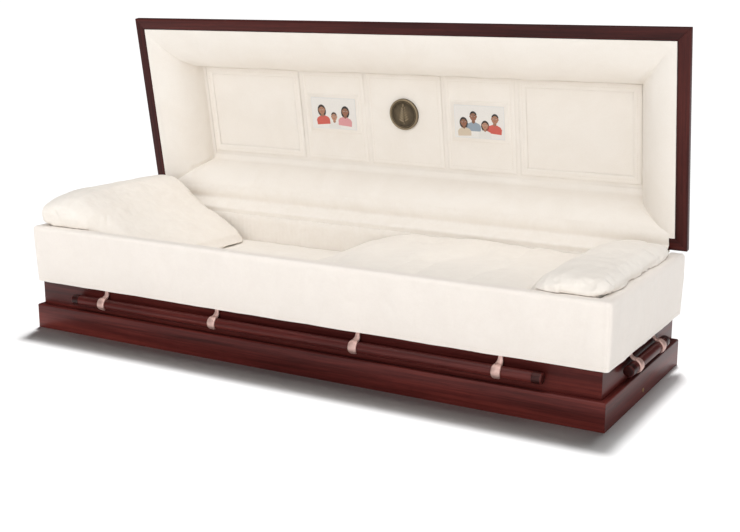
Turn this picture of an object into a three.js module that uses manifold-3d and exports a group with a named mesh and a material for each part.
// A full-length funeral casket in stained hardwood, with its lid open and its cloth interior in place.
// Millimetres. +X runs from the head end to the foot end, +Y towards the hinge side, +Z up.
// The origin is the middle of the underside. The lid is drawn shut, then turned open about its hinge pin.
import * as THREE from 'three';
import { mergeVertices } from 'three/addons/utils/BufferGeometryUtils.js';
import Module from 'manifold-3d';

const wasm = await Module();
wasm.setup();

// Body: shell panels, base moulding and bottom board
const shellWidth = 671;
const shellHeight = 362;
const shellWall = 22;
const rimOut = 16;
const rimHeight = 18;
const rimSlope = 14;
const baseOut = 18;
const baseHeight = 87;
const baseRound = 6;
const bottomThickness = 18;

// Lid: rim rails, curved crown and the pin it turns on
const clothGap = 8;
const lidLength = 2134;
const lidEndOverhang = 12;
const lidFrontOverhang = 5;
const lidOpenAngle = 81;
const lidRimWidth = 40;
const lidRimHeight = 34;
const lidRimChamfer = 3;
const lidRimOgee = 10;
const crownStep = 14;
const crownWall = 16;
const crownEase = 4;
const crownFacets = 7;

// Hinge: one continuous hinge of two leaves and a pin
const hingeEndMargin = 29;
const hingeLeafHeight = 20;
const hingeLeafThickness = 1.6;
const hingeBarrelRadius = 3.7;
const hingePinRadius = 1.6;
const hingeKnuckles = 13;
const hingeSides = 8;
const knuckleSides = 8;

// Lid interior: cloth border, cap panel, raised frames, keepsake panels, prints and medallion
const capDepth = 150;
const capThickness = 12;
const capClearance = 3.5;
const borderEndRun = 143;
const borderFrontRun = 166;
const borderBackRun = 86;
const borderWall = 8;
const borderFacets = 7;
const frameHeight = 338;
const frameBand = 28;
const frameRise = 8;
const frameOffset = 33;
const keepsakeGap = 14;
const frameEndMargin = 10.7;
const keepsakeLength = 265;
const medallionPanelLength = 300;
const keepsakeRise = 7;
const keepsakeField = 4;
const keepsakeBand = 12;
const matMargin = 13;
const matRise = 2.5;
const printLength = 190;
const printHeight = 118;
const printThickness = 1.5;
const printLift = 13.7;
const medallionLift = 25.7;
const medallionRadius = 57;
const medallionThickness = 8;
const medallionRim = 7;
const medallionSink = 2.5;
const leafRise = 2;

// Lid catches and the memorial record tube cap
const catchSpacing = 1070;
const catchEdge = 16;
const catchRadius = 6;
const catchDepth = 10;
const catchSink = 2;
const tubeCapRadius = 6.5;
const tubeCapThickness = 1.6;
const tubeCapBevel = 0.8;
const tubeShankRadius = 4.7;
const tubeShankLength = 13;
const tubeCapHeight = 23;
const tubeCapOffset = -12;

// Cloth of the body: lining, bed, throw, foot puff, pillow, overlay skirts and hinge apron
const liningWall = 8;
const liningDrop = 18;
const bedDepth = 112;
const bedClearance = 2;
const bedRound = 10;
const throwStart = -95;
const throwFootMargin = 271;
const throwRise = 95;
const puffGap = 4;
const puffLipRun = 30;
const puffRollRun = 110;
const puffRise = 42;
const puffReach = 30;
const pillowRun = 449;
const pillowSlopeRun = 270;
const pillowLipRun = 230;
const pillowToeRun = 70;
const pillowRise = 100;
const pillowReach = 30;
const pillowBackReach = 12;
const skirtBelowPivot = 29;
const skirtCloth = 3.7;
const skirtFrontHemOut = 11.5;
const skirtFrontTopOut = 20;
const skirtEndHemOut = 19;
const skirtEndTopOut = 24.5;
const skirtFlap = 25;
const skirtBackInset = 3;
const apronCloth = 4;
const apronLap = 52;

// Swing handles: a wooden bar on cast arms that turn in lugs on the shell
const barRadius = 17;
const barOut = 22.5;
const barDrop = 72;
const frontBarLength = 1750;
const endBarLength = 356;
const frontArmSpacing = [-738, -266, 266, 738];
const endArmSpacing = [-110, 110];
const armThickness = 5;
const armNeck = 16;
const armPaddle = 30;
const armBevel = 1.4;
const armTop = 100;
const armTip = -96;
const armStep = 19.6;
const pivotHeight = 200;
const pivotOut = 4.2;
const knuckleRadius = 3.5;
const knuckleLength = 14;
const trunnionRadius = 1.5;
const trunnionLength = 3;
const lugPlateLength = 36;
const lugPlateHeight = 20;
const lugPlateThickness = 1.5;
const lugEar = 4;
const lugEarOut = 7.8;
const lugEarHeight = 8.5;
const holePlay = 0.4;
const reliefPlay = 0.6;

const fitGap = 0.3;

// Worked out from the sizes above
const shellLength = lidLength - 2 * (lidEndOverhang + rimOut);
const hingeLength = shellLength - 2 * hingeEndMargin;
const liningTop = shellHeight - liningDrop;
const bedTop = shellHeight - bedDepth;
const skirtHem = pivotHeight - skirtBelowPivot;
const shellHalfLength = shellLength / 2;
const throwEnd = shellHalfLength - throwFootMargin;
const puffStart = throwEnd + puffGap;
const pillowEnd = pillowRun - shellHalfLength;
const shellHalfWidth = shellWidth / 2;
const baseHalfLength = shellHalfLength + baseOut;
const baseHalfWidth = shellHalfWidth + baseOut;
const lidPlane = shellHeight + clothGap;
const crownHeight = capDepth + capThickness + capClearance + crownWall;
const crownRun = lidRimWidth + borderBackRun - borderWall - crownStep + crownEase;
const lidHalfLength = lidLength / 2;
const lidBackFace = shellHalfWidth + rimOut;
const lidFrontFace = -(shellHalfWidth + rimOut + lidFrontOverhang);
const lidHalfWidth = (lidBackFace - lidFrontFace) / 2;
const lidMiddle = (lidBackFace + lidFrontFace) / 2;
const pinY = lidBackFace + fitGap + hingeBarrelRadius;
const openTurn = THREE.MathUtils.degToRad(lidOpenAngle);

const wood = new THREE.MeshStandardMaterial({ color: 0x5e2a26, roughness: 0.38 });
const cream = new THREE.MeshStandardMaterial({ color: 0xf1e9dd, roughness: 0.95 });
const white = new THREE.MeshStandardMaterial({ color: 0xf2ebe4, roughness: 0.95 });
const copper = new THREE.MeshStandardMaterial({ color: 0xb98f85, roughness: 0.35, metalness: 0.9 });
const brass = new THREE.MeshStandardMaterial({ color: 0xb08a52, roughness: 0.35, metalness: 0.9 });
const bronze = new THREE.MeshStandardMaterial({ color: 0x645744, roughness: 0.5, metalness: 0.8 });
const darkMetal = new THREE.MeshStandardMaterial({ color: 0x2c2624, roughness: 0.6, metalness: 0.6 });
const paper = new THREE.MeshStandardMaterial({ color: 0xe9e4dc, roughness: 0.5 });

// Each side of the box: how far its front-built rail is turned, and whether it runs across the box
const sides = {
  front: { turn: 0, across: false },
  right: { turn: Math.PI / 2, across: true },
  back: { turn: Math.PI, across: false },
  left: { turn: -Math.PI / 2, across: true },
};

const casket = new THREE.Group();
const lidHinge = new THREE.Group();
lidHinge.position.set(0, pinY, lidPlane);
lidHinge.rotation.x = -openTurn;
const lid = new THREE.Group();
lid.position.set(0, -pinY, -lidPlane);
lidHinge.add(lid);
casket.add(lidHinge);

function addMesh(parent, name, geometry, material) {
  const mesh = new THREE.Mesh(geometry, material);
  mesh.name = name;
  parent.add(mesh);
  return mesh;
}

// Turns loose faces so that they point out, going by the sign of the volume they enclose
function outward(positions, faces) {
  const corner = (k) => new THREE.Vector3().fromArray(positions, 3 * k);
  let volume = 0;
  for (const [a, b, c] of faces) {
    volume += corner(a).dot(corner(b).cross(corner(c)));
  }
  const turned = volume < 0 ? faces.map(([a, b, c]) => [a, c, b]) : faces;
  const geometry = new THREE.BufferGeometry();
  geometry.setAttribute('position', new THREE.Float32BufferAttribute(positions, 3));
  geometry.setIndex(turned.flat());
  return geometry;
}

// A closed solid through rings of points. With an outline its two ends are capped.
// Without one, it closes on itself.
function skin(rings, outline) {
  const size = rings[0].length;
  const faces = [];
  const steps = outline ? rings.length - 1 : rings.length;
  for (let r = 0; r < steps; r++) {
    const near = r * size;
    const far = ((r + 1) % rings.length) * size;
    for (let k = 0; k < size; k++) {
      const next = (k + 1) % size;
      faces.push([near + k, near + next, far + next], [near + k, far + next, far + k]);
    }
  }
  if (outline) {
    const flat = outline.map(([a, b]) => new THREE.Vector2(a, b));
    const area = THREE.ShapeUtils.area(flat);
    const last = (rings.length - 1) * size;
    for (const [a, b, c] of THREE.ShapeUtils.triangulateShape([...flat], [])) {
      const along = THREE.ShapeUtils.area([flat[a], flat[b], flat[c]]) * area > 0;
      const [p, q, r] = along ? [a, b, c] : [a, c, b];
      faces.push([r, q, p], [last + p, last + q, last + r]);
    }
  }
  return outward(rings.flat().flat(), faces);
}

function asManifold(geometry) {
  const bare = geometry.clone();
  bare.deleteAttribute('normal');
  bare.deleteAttribute('uv');
  const merged = mergeVertices(bare, 1e-4);
  const vertProperties = new Float32Array(merged.attributes.position.array);
  const triVerts = new Uint32Array(merged.index.array);
  return new wasm.Manifold(new wasm.Mesh({ numProp: 3, vertProperties, triVerts }));
}

function asGeometry(solid) {
  const mesh = solid.getMesh();
  const geometry = new THREE.BufferGeometry();
  geometry.setAttribute('position', new THREE.Float32BufferAttribute(mesh.vertProperties, 3));
  geometry.setIndex([...mesh.triVerts]);
  return geometry;
}

function box(x0, x1, y0, y1, z0, z1) {
  const geometry = new THREE.BoxGeometry(x1 - x0, y1 - y0, z1 - z0);
  geometry.translate((x0 + x1) / 2, (y0 + y1) / 2, (z0 + z1) / 2);
  return geometry;
}

// A straight length of moulding on the front side. Its outline's points are [inward, up, corner].
// Inward is measured from halfAcross, and corner is the inward distance of what it meets round the corner.
// An end is mitred, unless it is given as a function from a point's inward distance to its square cut.
function rail(outline, halfRun, halfAcross, startCut, endCut) {
  const setBack = fitGap / Math.SQRT2;
  const ringAt = (cut, way) => outline.map(([inward, up, corner = inward]) => {
    const place = cut ? cut(inward) : halfRun - corner - setBack;
    return [way * place, -(halfAcross - inward), up];
  });
  return skin([ringAt(startCut, -1), ringAt(endCut, 1)], outline);
}

// Four mitred rails round a box, one named mesh for each side
function mouldedRing(parent, nameOf, outline, halfLength, halfWidth, material) {
  for (const [side, { turn, across }] of Object.entries(sides)) {
    const run = across ? halfWidth : halfLength;
    const reach = across ? halfLength : halfWidth;
    addMesh(parent, nameOf(side), rail(outline, run, reach), material).rotation.z = turn;
  }
}

// A frame in one piece. Each outline point is [x inward, y inward at the front, y inward at the back, up].
function closedFrame(outline, halfLength, frontY, backY) {
  const corner = (wayX, back) => outline.map(([inX, inFront, inBack, up]) => {
    const y = back ? backY - inBack : frontY + inFront;
    return [wayX * (halfLength - inX), y, up];
  });
  return skin([corner(-1, false), corner(1, false), corner(1, true), corner(-1, true)]);
}

// A solid built up in level rings with cut corners: each level is [x0, x1, y0, y1, z, corner cut]
function levels(list) {
  const rings = list.map(([x0, x1, y0, y1, z, cut]) => [
    [x0 + cut, y0, z], [x1 - cut, y0, z], [x1, y0 + cut, z], [x1, y1 - cut, z],
    [x1 - cut, y1, z], [x0 + cut, y1, z], [x0, y1 - cut, z], [x0, y0 + cut, z],
  ]);
  return skin(rings, rings[0].map(([x, y]) => [x, y]));
}

// A round solid along X, Y or Z through [place, radius] stations
function turned(stations, count, axis = 'x') {
  const outline = [];
  for (let k = 0; k < count; k++) {
    const angle = 2 * Math.PI * (k + 0.5) / count;
    outline.push([Math.cos(angle), Math.sin(angle)]);
  }
  const place = { x: (s, a, b) => [s, a, b], y: (s, a, b) => [a, s, b], z: (s, a, b) => [a, b, s] }[axis];
  const rings = stations.map(([s, radius]) => outline.map(([a, b]) => place(s, radius * a, radius * b)));
  return skin(rings, outline);
}

// Points of a quarter ellipse from (0, 0), leaving along the first axis or along the second
function quarter(runA, runB, count, alongSecond) {
  const points = [];
  for (let k = 0; k <= count; k++) {
    const angle = (Math.PI / 2) * (k / count);
    const bent = 1 - Math.cos(angle);
    const straight = Math.sin(angle);
    const [partA, partB] = alongSecond ? [bent, straight] : [straight, bent];
    points.push([runA * partA, runB * partB, angle]);
  }
  return points;
}

// Body in wood
function baseMouldingOutline() {
  const inner = baseOut - fitGap;
  const nose = quarter(baseRound, baseRound, 3, true).map(([a, b]) => [a, baseHeight - baseRound + b]);
  return [[0, 0], ...nose, [inner, baseHeight], [inner, 0]];
}

function shellOutline() {
  const rimBase = shellHeight - rimHeight;
  return [
    [0, 0], [0, rimBase - rimSlope], [-rimOut, rimBase], [-rimOut, shellHeight],
    [shellWall, shellHeight], [shellWall, 0],
  ];
}

function boreTubeHole(geometry) {
  const bore = turned([[-1, tubeShankRadius + fitGap], [baseOut + 1, tubeShankRadius + fitGap]], 16, 'y');
  bore.translate(tubeCapOffset, -baseHalfLength, tubeCapHeight);
  return asGeometry(asManifold(geometry).subtract(asManifold(bore)));
}

function buildWoodBody() {
  const nameOf = (side) => `base_moulding_${side}`;
  mouldedRing(casket, nameOf, baseMouldingOutline(), baseHalfLength, baseHalfWidth, wood);
  const bored = casket.getObjectByName('base_moulding_right');
  bored.geometry = boreTubeHole(bored.geometry);
  const x = shellHalfLength - shellWall - fitGap;
  const y = shellHalfWidth - shellWall - fitGap;
  addMesh(casket, 'bottom_board', box(-x, x, -y, y, 0, bottomThickness), wood);
  const head = turned([
    [fitGap, tubeCapRadius],
    [fitGap + tubeCapThickness, tubeCapRadius - tubeCapBevel],
  ], 20);
  const shank = turned([[-tubeShankLength, tubeShankRadius], [fitGap + 0.5, tubeShankRadius]], 16);
  const cap = asManifold(head).add(asManifold(shank));
  addMesh(casket, 'record_tube_cap', asGeometry(cap), brass)
    .position.set(baseHalfLength, tubeCapOffset, tubeCapHeight);
}

// Shell panels, each joined with the lugs that its handle turns in
function lugSolid() {
  const earX = knuckleLength / 2 + fitGap + lugEar / 2;
  const ear = (x) => asManifold(box(x - lugEar / 2, x + lugEar / 2, -lugEarOut, 1,
    -lugEarHeight / 2, lugEarHeight / 2));
  const plate = asManifold(box(-lugPlateLength / 2, lugPlateLength / 2, -lugPlateThickness, 1,
    -lugPlateHeight / 2, lugPlateHeight / 2));
  const alongPin = (half, radius, count) => asManifold(
    turned([[-half, radius], [half, radius]], count).translate(0, -pivotOut, 0));
  return plate.add(ear(-earX)).add(ear(earX))
    .subtract(alongPin(earX + lugEar, trunnionRadius + holePlay, knuckleSides))
    .subtract(alongPin(earX - lugEar / 2, knuckleRadius + reliefPlay, knuckleSides));
}

function armsOf(side) {
  return sides[side].across ? endArmSpacing : frontArmSpacing;
}

function buildShell() {
  for (const [side, { turn, across }] of Object.entries(sides)) {
    const run = across ? shellHalfWidth : shellHalfLength;
    const reach = across ? shellHalfLength : shellHalfWidth;
    let panel = asManifold(rail(shellOutline(), run, reach));
    for (const place of armsOf(side)) {
      panel = panel.add(lugSolid().translate([place, -reach, pivotHeight]));
    }
    addMesh(casket, `shell_panel_${side}`, asGeometry(panel), wood).rotation.z = turn;
  }
}

// Swing handles
function armPath() {
  const centre = [barOut, -barDrop];
  const radius = barRadius + fitGap + armThickness / 2;
  const points = [[pivotOut, 0], [pivotOut + 0.1, -16], [pivotOut + 0.4, -31], [pivotOut + 4, -45]];
  for (let degrees = armTop; degrees >= armTip; degrees -= armStep) {
    const angle = THREE.MathUtils.degToRad(degrees);
    points.push([centre[0] + radius * Math.cos(angle), centre[1] + radius * Math.sin(angle)]);
  }
  return points;
}

// The arm's width along its path: its knuckle, then a neck, then a paddle over the bar with a round end
function armWidths(path) {
  const neckEnd = 3;
  return path.map((point, k) => {
    if (k === 0) {
      return knuckleLength - 1;
    }
    if (k < neckEnd) {
      return armNeck - k;
    }
    const share = (k - neckEnd) / (path.length - 1 - neckEnd);
    return armNeck + (armPaddle - armNeck) * Math.sin(Math.PI * (0.12 + 0.8 * share));
  });
}

function armGeometry() {
  const path = armPath();
  const widths = armWidths(path);
  const rings = path.map(([out, drop], k) => {
    const [aOut, aDrop] = path[Math.max(0, k - 1)];
    const [bOut, bDrop] = path[Math.min(path.length - 1, k + 1)];
    const length = Math.hypot(bOut - aOut, bDrop - aDrop);
    const nOut = -(bDrop - aDrop) / length * armThickness / 2;
    const nDrop = (bOut - aOut) / length * armThickness / 2;
    const half = widths[k] / 2;
    const at = (x, n) => [x, -(out + n * nOut), drop + n * nDrop];
    return [at(-half, -1), at(half, -1), at(half, 0.4), at(half - armBevel, 1), at(armBevel - half, 1),
      at(-half, 0.4)];
  });
  const strap = skin(rings, [[-3, -1], [3, -1], [3, 0.4], [2, 1], [-2, 1], [-3, 0.4]]);
  const alongPin = (half, radius, count) => asManifold(
    turned([[-half, radius], [half, radius]], count).translate(0, -pivotOut, 0));
  const solid = asManifold(strap)
    .add(alongPin(knuckleLength / 2, knuckleRadius, knuckleSides))
    .add(alongPin(knuckleLength / 2 + trunnionLength, trunnionRadius, knuckleSides));
  return asGeometry(solid);
}

function barGeometry(length) {
  const end = length / 2;
  const round = 2;
  const bar = turned([[-end, barRadius - round], [round - end, barRadius], [end - round, barRadius],
    [end, barRadius - round]], 18);
  bar.translate(0, -barOut, -barDrop);
  return bar;
}

function buildHandles() {
  const arm = armGeometry();
  for (const [side, { turn, across }] of Object.entries(sides)) {
    const reach = across ? shellHalfLength : shellHalfWidth;
    const handle = new THREE.Group();
    handle.rotation.z = turn;
    casket.add(handle);
    const pivot = new THREE.Group();
    pivot.position.set(0, -reach, pivotHeight);
    handle.add(pivot);
    addMesh(pivot, `handle_bar_${side}`, barGeometry(across ? endBarLength : frontBarLength), wood);
    armsOf(side).forEach((place, k) => {
      addMesh(pivot, `handle_arm_${side}_${k + 1}`, arm.clone(), copper).position.x = place;
    });
  }
}

// Lid in wood, drawn shut
function lidRimOutline() {
  const shoulder = lidRimHeight - lidRimOgee;
  return [
    [0, lidRimChamfer], [0, shoulder - 2], [2, shoulder + 3], [5, shoulder + 5], [7, lidRimHeight - 2],
    [lidRimOgee, lidRimHeight], [lidRimWidth, lidRimHeight], [lidRimWidth, lidRimChamfer],
    [lidRimWidth - lidRimChamfer, 0], [lidRimChamfer, 0],
  ].map(([inward, up]) => [inward, up + lidPlane]);
}

function crownOutline() {
  const foot = lidRimHeight + fitGap;
  const rise = crownHeight - foot;
  const outer = quarter(crownRun, rise, crownFacets, true)
    .map(([a, b]) => [crownStep + a, foot + b]);
  const inner = quarter(crownRun - crownWall, rise - crownWall, crownFacets, true)
    .map(([a, b]) => [crownStep + crownWall + a, foot + b]);
  return [...outer, ...inner.reverse()].map(([inward, up]) => [inward, up + lidPlane]);
}

function pocketedFrontRail(geometry) {
  let solid = asManifold(geometry);
  for (const way of [-1, 1]) {
    const pocket = turned([[-1, catchRadius + fitGap], [catchDepth, catchRadius + fitGap]], 20, 'z');
    pocket.translate(way * catchSpacing / 2, catchEdge - lidHalfWidth, lidPlane);
    solid = solid.subtract(asManifold(pocket));
  }
  return asGeometry(solid);
}

function buildLidWood() {
  const shifted = new THREE.Group();
  shifted.position.y = lidMiddle;
  lid.add(shifted);
  mouldedRing(shifted, (side) => `lid_rim_${side}`, lidRimOutline(), lidHalfLength, lidHalfWidth, wood);
  const frontRail = shifted.getObjectByName('lid_rim_front');
  frontRail.geometry = pocketedFrontRail(frontRail.geometry);
  mouldedRing(shifted, (side) => `lid_crown_${side}`, crownOutline(), lidHalfLength, lidHalfWidth, wood);
  const inward = crownStep + crownRun + fitGap;
  const x = lidHalfLength - inward;
  const y = lidHalfWidth - inward;
  const top = box(-x, x, -y, y, lidPlane + crownHeight - crownWall, lidPlane + crownHeight);
  addMesh(shifted, 'lid_crown_top', top, wood);
  for (const [name, way] of [['head', -1], ['foot', 1]]) {
    const cup = turned([[catchSink, catchRadius], [catchDepth - fitGap, catchRadius]], 20, 'z');
    addMesh(shifted, `lid_catch_${name}`, cup, darkMetal)
      .position.set(way * catchSpacing / 2, catchEdge - lidHalfWidth, lidPlane);
  }
}

// Hinge: the knuckles of the two leaves take turns along the pin
function hingeLeaf(offset, way) {
  const pitch = hingeLength / hingeKnuckles;
  const half = hingeLength / 2;
  const plateY = -hingeBarrelRadius;
  const near = way * hingeBarrelRadius * 0.6;
  const far = way * (hingeBarrelRadius + hingeLeafHeight);
  let leaf = asManifold(box(-half, half, plateY, plateY + hingeLeafThickness,
    Math.min(far, way * (hingeBarrelRadius + fitGap)), Math.max(far, way * (hingeBarrelRadius + fitGap))));
  for (let k = offset; k < hingeKnuckles; k += 2) {
    const x0 = -half + k * pitch + fitGap / 2;
    const x1 = x0 + pitch - fitGap;
    const barrel = turned([[x0, hingeBarrelRadius], [x1, hingeBarrelRadius]], hingeSides);
    const web = box(x0, x1, plateY, plateY + hingeLeafThickness, Math.min(far, near), Math.max(far, near));
    leaf = leaf.add(asManifold(barrel)).add(asManifold(web));
  }
  const boreRadius = hingePinRadius + fitGap;
  const bore = turned([[-half - 1, boreRadius], [half + 1, boreRadius]], hingeSides);
  return asGeometry(leaf.subtract(asManifold(bore)));
}

function buildHinge() {
  const half = hingeLength / 2;
  addMesh(casket, 'hinge_leaf_body', hingeLeaf(0, -1), brass).position.set(0, pinY, lidPlane);
  addMesh(lid, 'hinge_leaf_lid', hingeLeaf(1, 1), brass).position.set(0, pinY, lidPlane);
  addMesh(casket, 'hinge_pin', turned([[-half, hingePinRadius], [half, hingePinRadius]], hingeSides), brass)
    .position.set(0, pinY, lidPlane);
}

// Lid interior, drawn shut: it faces down into the casket
function borderOutline() {
  const depth = capDepth - fitGap;
  const start = lidRimWidth + fitGap;
  const curve = (run) => quarter(run, depth, borderFacets, false);
  const ends = curve(borderEndRun);
  const fronts = curve(borderFrontRun);
  const backs = curve(borderBackRun);
  const face = ends.map(([a, b], k) =>
    [start + a, start + fronts[k][0], start + backs[k][0], lidPlane + b]);
  const rear = ends.map(([a, b, angle], k) => {
    const inX = borderWall * Math.sin(angle);
    const up = borderWall * Math.cos(angle);
    return [start + a - inX, start + fronts[k][0] - inX, start + backs[k][0] - inX, lidPlane + b + up];
  });
  return [...face, ...rear.reverse()];
}

const capFace = lidPlane + capDepth;
const capFront = lidFrontFace + lidRimWidth + fitGap + borderFrontRun;
const capBack = lidBackFace - lidRimWidth - fitGap - borderBackRun;
const capHalfLength = lidHalfLength - lidRimWidth - fitGap - borderEndRun;
const frameBack = capBack - frameOffset;
const frameFront = frameBack - frameHeight;
const frameMiddle = (frameBack + frameFront) / 2;
const keepsakeX = medallionPanelLength / 2 + keepsakeGap + keepsakeLength / 2;
const frameStart = keepsakeX + keepsakeLength / 2 + keepsakeGap;
const frameLength = capHalfLength - frameEndMargin - frameStart;
const frameX = frameStart + frameLength / 2;

// A raised frame with a rounded band, standing on the cap panel's face
function frameGeometry() {
  const foot = capFace - fitGap;
  const band = [
    [0, 0], [0, frameRise * 0.5], [frameBand * 0.2, frameRise], [frameBand * 0.5, frameRise * 0.8],
    [frameBand * 0.8, frameRise], [frameBand, frameRise * 0.4], [frameBand, 0],
  ];
  const outline = band.map(([inward, rise]) => [inward, inward, inward, foot - rise]);
  return closedFrame(outline, frameLength / 2, frameFront, frameBack);
}

// A keepsake panel: a raised band round a flat field, and on some a mat to hold a print
function keepsakeGeometry(length, withMat) {
  const foot = capFace - fitGap;
  const y0 = frameFront;
  const y1 = frameBack;
  const level = (inset, rise) => [
    inset - length / 2, length / 2 - inset, y0 + inset, y1 - inset, foot - rise, 0.5,
  ];
  const list = [
    level(0, 0), level(0, keepsakeField), level(3, keepsakeRise), level(keepsakeBand - 3, keepsakeRise),
    level(keepsakeBand, keepsakeField),
  ];
  if (withMat) {
    const x = printLength / 2 + matMargin;
    const y = printHeight / 2 + matMargin;
    const middle = frameMiddle - printLift;
    list.push([-x, x, middle - y, middle + y, foot - keepsakeField, 0.5]);
    list.push([1.5 - x, x - 1.5, middle - y + 1.5, middle + y - 1.5, foot - keepsakeField - matRise, 0.5]);
  }
  return levels(list);
}

// One leaf of the medallion's sprig, lying along its own direction
function leafSolid(x, y, angle, length, width) {
  const shape = [[0, 0], [0.25, 0.8], [0.55, 1], [1, 0], [0.55, -1], [0.25, -0.8]];
  const c = Math.cos(angle);
  const s = Math.sin(angle);
  const ring = (grow, up) => shape.map(([a, b]) => {
    const along = length * (0.5 + (a - 0.5) * grow);
    const aside = width / 2 * b * grow;
    return [x + c * along - s * aside, y + s * along + c * aside, up];
  });
  return asManifold(skin([ring(1, 0.4), ring(0.45, -leafRise)], shape));
}

function medallionGeometry() {
  const back = 0;
  const face = -medallionThickness;
  const field = face + medallionSink;
  let solid = asManifold(turned([[back, medallionRadius], [face + 1.5, medallionRadius],
    [face, medallionRadius - 2], [face, medallionRadius - medallionRim],
    [field, medallionRadius - medallionRim - 2]], 32, 'z'));
  const stem = medallionRadius * 0.62;
  const pairs = 5;
  const sprig = [leafSolid(0, stem * 0.55, Math.PI / 2, stem * 0.5, 9)];
  for (let k = 0; k < pairs; k++) {
    const y = -stem * 0.75 + k * stem * 0.31;
    for (const way of [-1, 1]) {
      sprig.push(leafSolid(way * 1.2, y, Math.PI / 2 - way * 0.85, stem * (0.62 - 0.05 * k), 9));
    }
  }
  sprig.push(asManifold(box(-1.4, 1.4, -stem, stem * 0.65, -leafRise * 0.8, 0.4)));
  for (const piece of sprig) {
    solid = solid.add(piece.translate([0, 0, field]));
  }
  return asGeometry(solid);
}

function buildLidInterior() {
  const border = closedFrame(borderOutline(), lidHalfLength, lidFrontFace, lidBackFace);
  addMesh(lid, 'lid_border', border, cream);
  const x = capHalfLength + borderWall;
  const board = box(-x, x, capFront - borderWall, capBack + borderWall, capFace, capFace + capThickness);
  addMesh(lid, 'cap_panel', board, cream);
  for (const [name, way] of [['head', -1], ['foot', 1]]) {
    addMesh(lid, `raised_frame_${name}`, frameGeometry(), cream).position.x = way * frameX;
    addMesh(lid, `keepsake_panel_${name}`, keepsakeGeometry(keepsakeLength, true), cream)
      .position.x = way * keepsakeX;
    const face = capFace - fitGap - keepsakeField - matRise - fitGap;
    const middle = frameMiddle - printLift;
    const print = box(-printLength / 2, printLength / 2, middle - printHeight / 2, middle + printHeight / 2,
      face - printThickness, face);
    addMesh(lid, `photo_print_${name}`, print, paper).position.x = way * keepsakeX;
  }
  addMesh(lid, 'medallion_panel', keepsakeGeometry(medallionPanelLength, false), cream);
  const medallion = addMesh(lid, 'medallion', medallionGeometry(), bronze);
  medallion.position.set(0, frameMiddle - medallionLift, capFace - 2 * fitGap - keepsakeField);
  medallion.rotation.z = Math.PI;
}

// Cloth of the body
const liningOut = shellWall + fitGap;
const insideX = shellHalfLength - liningOut - liningWall;
const insideY = shellHalfWidth - liningOut - liningWall;
const overRim = lidPlane + fitGap;

function buildLining() {
  const bottom = bottomThickness + fitGap;
  const outline = [[liningOut, bottom], [liningOut, liningTop], [liningOut + liningWall, liningTop],
    [liningOut + liningWall, bottom]].map(([inward, up]) => [inward, inward, inward, up]);
  const lining = closedFrame(outline, shellHalfLength, -shellHalfWidth, shellHalfWidth);
  addMesh(casket, 'body_lining', lining, cream);
  const x = insideX - bedClearance;
  const y = insideY - bedClearance;
  const inner = (inset, z) => [-x + inset, x - inset, -y + inset, y - inset, z, bedRound];
  addMesh(casket, 'bed', levels([inner(bedRound, bottom), inner(0, bottom + bedRound),
    inner(0, bedTop - bedRound), inner(bedRound, bedTop)]), cream);
}

// Cloth solids that lie across the casket. Each station is
// [x, half width inside, lip at the front, lip at the back, underside, top].
function crossLoft(stations) {
  const rings = stations.map(([x, half, lipFront, lipBack, under, top]) => {
    const rim = Math.max(under, Math.min(overRim, top - 16)) + fitGap;
    const high = rim + (top - rim) * 0.6;
    return [
      [x, -half, under], [x, -half - 0.1, rim], [x, -half - lipFront, rim + 0.4],
      [x, -half - lipFront, high], [x, -(half + lipFront) * 0.93, top - (top - high) * 0.3],
      [x, -half * 0.6, top], [x, half * 0.6, top], [x, (half + lipBack) * 0.93, top - (top - high) * 0.3],
      [x, half + lipBack, high], [x, half + lipBack, rim + 0.4], [x, half + 0.1, rim], [x, half, under],
    ];
  });
  return skin(rings, rings[Math.floor(rings.length / 2)].map(([, y, z]) => [y, z]));
}

function buildSoftPieces() {
  const under = bedTop + 2 * fitGap;
  const half = insideY - 5;
  const slope = [[0, 0.12], [25, 0.45], [75, 0.8], [190, 1], [600, 1], [throwEnd - throwStart, 0.94]];
  addMesh(casket, 'throw', crossLoft(slope.map(([run, share]) => (
    [throwStart + run, half - 4, 0, 0, under, bedTop + throwRise * share]))), cream);
  const lipEnd = shellHalfLength + 2;
  const inner = insideX - 5;
  const top = lidPlane + puffRise;
  addMesh(casket, 'foot_puff', crossLoft([
    [puffStart, half, 0, 0, under, lidPlane + 4],
    [puffStart + puffLipRun, half, 0, 0, under, top - 14],
    [puffStart + puffLipRun + 8, half, puffReach, pillowBackReach, under, top - 9],
    [puffStart + puffRollRun, half, puffReach, pillowBackReach, under, top],
    [inner - 6, half, puffReach, pillowBackReach, under, top],
    [inner, half, puffReach, pillowBackReach, overRim, top - 1],
    [lipEnd, half - 10, puffReach, pillowBackReach, overRim, top - 12],
    [lipEnd + 6, half - 60, 0, 0, overRim, top - 22],
  ]), cream);
  const high = lidPlane + pillowRise;
  const rise = high - under;
  addMesh(casket, 'head_pillow', crossLoft([
    [-lipEnd - 8, half - 60, 0, 0, overRim + 8, high - 28],
    [-lipEnd, half - 10, pillowReach, pillowBackReach, overRim, high - 12],
    [-inner, half, pillowReach, pillowBackReach, overRim, high - 2],
    [6 - inner, half, pillowReach, pillowBackReach, under, high],
    [100 - inner, half, pillowReach, pillowBackReach, under, high],
    [pillowEnd - pillowSlopeRun, half, pillowReach, pillowBackReach, under, under + rise * 0.82],
    [pillowEnd - pillowLipRun, half, pillowReach / 2, 0, under, under + rise * 0.7],
    [pillowEnd - pillowLipRun + 8, half, 0, 0, under, under + rise * 0.67],
    [pillowEnd - pillowToeRun, half, 0, 0, under, under + rise * 0.3],
    [pillowEnd, half - 20, 0, 0, under, under + 18],
  ]), cream);
}

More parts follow.
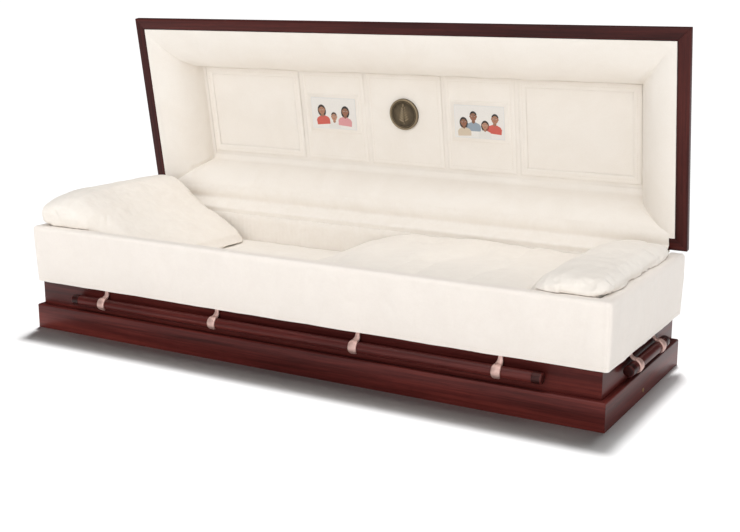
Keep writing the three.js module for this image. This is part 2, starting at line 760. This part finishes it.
// The overlay hangs over the rim: an outer face down to the hem, a flap over the rim and a short fall inside
function skirtOutline(hemOut, topOut, hemOther, topOther) {
  const top = lidPlane - fitGap;
  const inside = shellWall + fitGap;
  const rimFace = rimOut + fitGap;
  const overWood = shellHeight + fitGap;
  const turn = topOut - rimFace - 1;
  const turnOther = topOther - rimFace - 1;
  return [
    [-hemOut, skirtHem, -hemOther],
    [-topOut, shellHeight - 8, -topOther],
    [-topOut + turn * 0.3, top - 3.5, -topOther + turnOther * 0.3],
    [-topOut + turn + 2, top, -topOther + turnOther + 2],
    [inside + 1.5, top], [inside + skirtCloth, top - 2], [inside + skirtCloth, top - skirtFlap],
    [inside, top - skirtFlap], [inside, overWood],
    [-rimFace, overWood], [-rimFace, shellHeight - rimHeight - 4],
    [-hemOut + skirtCloth, skirtHem, -hemOther + skirtCloth],
  ];
}

function buildSkirts() {
  const front = skirtOutline(skirtFrontHemOut, skirtFrontTopOut, skirtEndHemOut, skirtEndTopOut);
  const end = skirtOutline(skirtEndHemOut, skirtEndTopOut, skirtFrontHemOut, skirtFrontTopOut);
  addMesh(casket, 'skirt_front', rail(front, shellHalfLength, shellHalfWidth), white);
  const backCut = (inward) => (
    inward < shellWall ? shellHalfWidth + rimOut - skirtBackInset : shellHalfWidth - shellWall - fitGap);
  addMesh(casket, 'skirt_left', rail(end, shellHalfWidth, shellHalfLength, backCut, null), white)
    .rotation.z = sides.left.turn;
  addMesh(casket, 'skirt_right', rail(end, shellHalfWidth, shellHalfLength, null, backCut), white)
    .rotation.z = sides.right.turn;
}

// The apron crosses from the top of the back lining to the foot of the lid border, over the hinge
function apronGeometry() {
  const onLid = (along, depth) => [
    pinY - along * Math.cos(openTurn) + depth * Math.sin(openTurn),
    lidPlane + along * Math.sin(openTurn) + depth * Math.cos(openTurn),
  ];
  const half = apronCloth / 2;
  const wallY = shellHalfWidth - shellWall - fitGap - half;
  const path = [
    [wallY, liningTop + fitGap], [wallY, shellHeight + 1], onLid(lidRimWidth * 0.45, -half - 1),
    onLid(apronLap, -half - 1),
  ];
  const offset = path.map(([y, z], k) => {
    const [ay, az] = path[Math.max(0, k - 1)];
    const [by, bz] = path[Math.min(path.length - 1, k + 1)];
    const length = Math.hypot(by - ay, bz - az);
    return [(bz - az) / length * half, -(by - ay) / length * half];
  });
  const near = path.map(([y, z], k) => [y - offset[k][0], z - offset[k][1]]);
  const far = path.map(([y, z], k) => [y + offset[k][0], z + offset[k][1]]);
  const outline = [...near, ...far.reverse()];
  const x = insideX;
  return skin([-x, x].map((place) => outline.map(([y, z]) => [place, y, z])), outline);
}

buildWoodBody();
buildShell();
buildHandles();
buildLidWood();
buildHinge();
buildLidInterior();
buildLining();
buildSoftPieces();
buildSkirts();
addMesh(casket, 'hinge_apron', apronGeometry(), cream);

export default casket;
